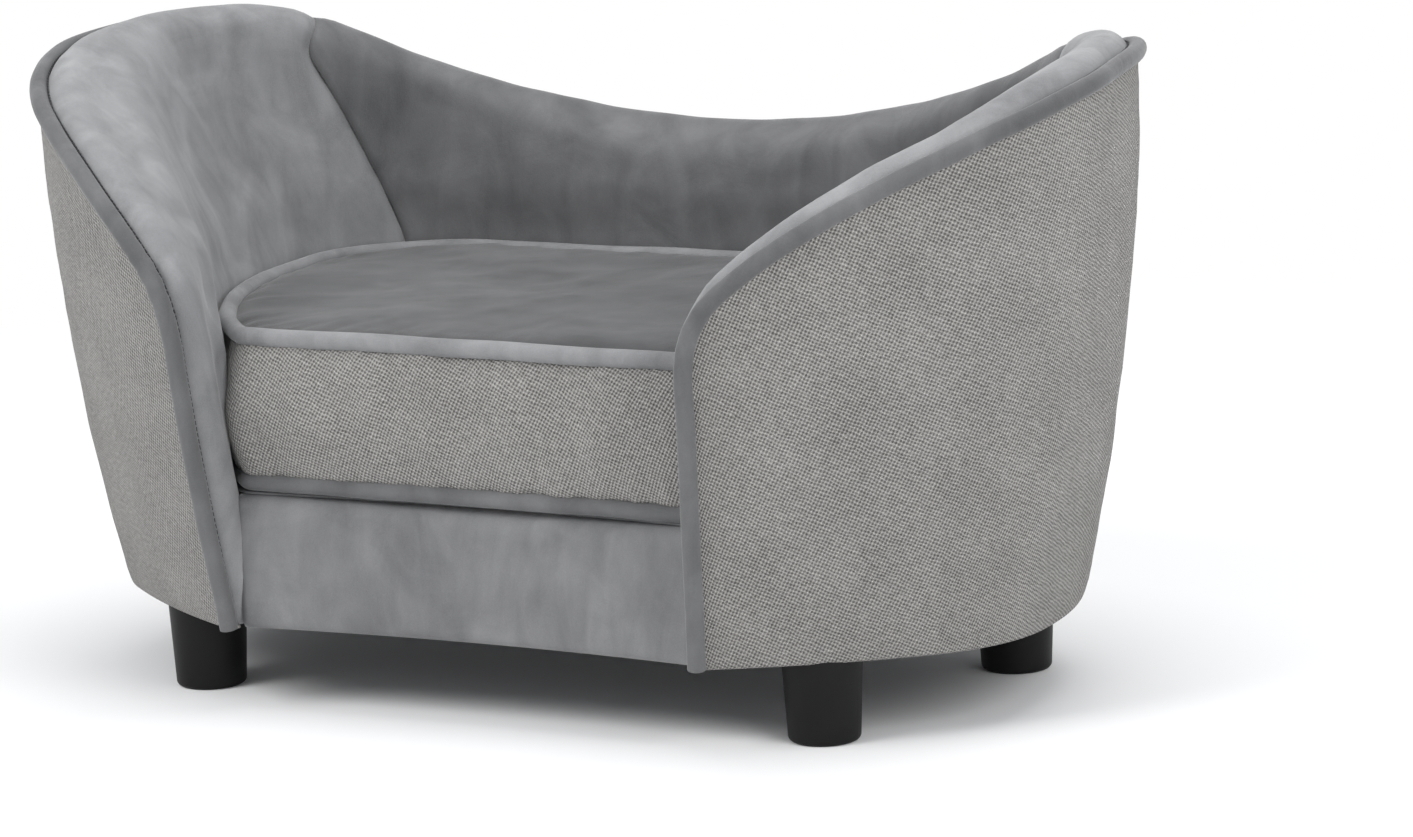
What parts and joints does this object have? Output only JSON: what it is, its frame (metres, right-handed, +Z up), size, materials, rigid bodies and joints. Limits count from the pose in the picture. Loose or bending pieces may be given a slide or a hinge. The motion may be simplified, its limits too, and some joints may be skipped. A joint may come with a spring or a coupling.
{
  "type": "dog sofa bed",
  "caption": "Small upholstered tub sofa for a pet: padded arms and back on short round legs, with a loose zipped seat cushion.",
  "frame": {"origin": "on the floor, under the middle of the sofa", "axes": "+X across the seat to the sofa's own left when facing out of it, +Z up, the open front faces -Y"},
  "size_m": [0.665, 0.4047, 0.3653],
  "materials": {
    "woven_cloth": "woven chenille, warm light grey",
    "velvet": "short pile velvet, cool mid grey",
    "foam": "open cell upholstery foam and fibre",
    "wood": "raw plywood and pine",
    "dust_cloth": "thin non-woven black cloth",
    "leg_plastic": "satin black moulded plastic",
    "steel": "zinc plated steel",
    "zip_tape": "woven zip tape",
    "zip_plastic": "moulded zip teeth",
    "zip_metal": "painted cast zinc"
  },
  "bodies": {
    "frame": {"outer_cover": "woven_cloth", "right_arm_piping": "woven_cloth", "left_arm_piping": "woven_cloth", "back_piping": "woven_cloth", "right_arm_lining": "velvet", "left_arm_lining": "velvet", "back_lining": "velvet", "right_arm_roll": "velvet", "left_arm_roll": "velvet", "back_roll": "velvet", "front_apron": "velvet", "deck_cover": "velvet", "right_arm_foam": "foam", "left_arm_foam": "foam", "back_foam": "foam", "apron_foam": "foam", "deck_foam": "foam", "shell_board": "wood", "base_board": "wood", "deck_board": "wood", "front_rail": "wood", "back_rail": "wood", "centre_slat": "wood", "right_side_rail": "wood", "left_side_rail": "wood", "dust_cover": "dust_cloth", "leg_front_right": "leg_plastic", "leg_front_left": "leg_plastic", "leg_rear_right": "leg_plastic", "leg_rear_left": "leg_plastic", "hanger_bolts": "steel", "t_nuts": "steel", "dust_staples": "steel", "frame_screws": "steel"},
    "cushion": {"cushion_top_piping": "woven_cloth", "cushion_bottom_piping": "woven_cloth", "cushion_boxing": "woven_cloth", "cushion_top_panel": "velvet", "cushion_bottom_panel": "velvet", "cushion_foam": "foam", "cushion_wadding": "foam", "zip_tape_upper": "zip_tape", "zip_tape_lower": "zip_tape", "zip_teeth": "zip_plastic", "zip_stops": "zip_plastic"},
    "zip_slider": {"zip_slider": "zip_metal", "zip_pull": "zip_metal"}
  },
  "joints": [
    {"name": "cushion_lift", "type": "slide", "parent": "frame", "child": "cushion", "axis": [0, 0, 1], "range_m": [0, 0.25]},
    {"name": "zip_slide", "type": "slide", "parent": "cushion", "child": "zip_slider", "axis": [1, 0, 0], "range_m": [-0.249, 0]}
  ]
}
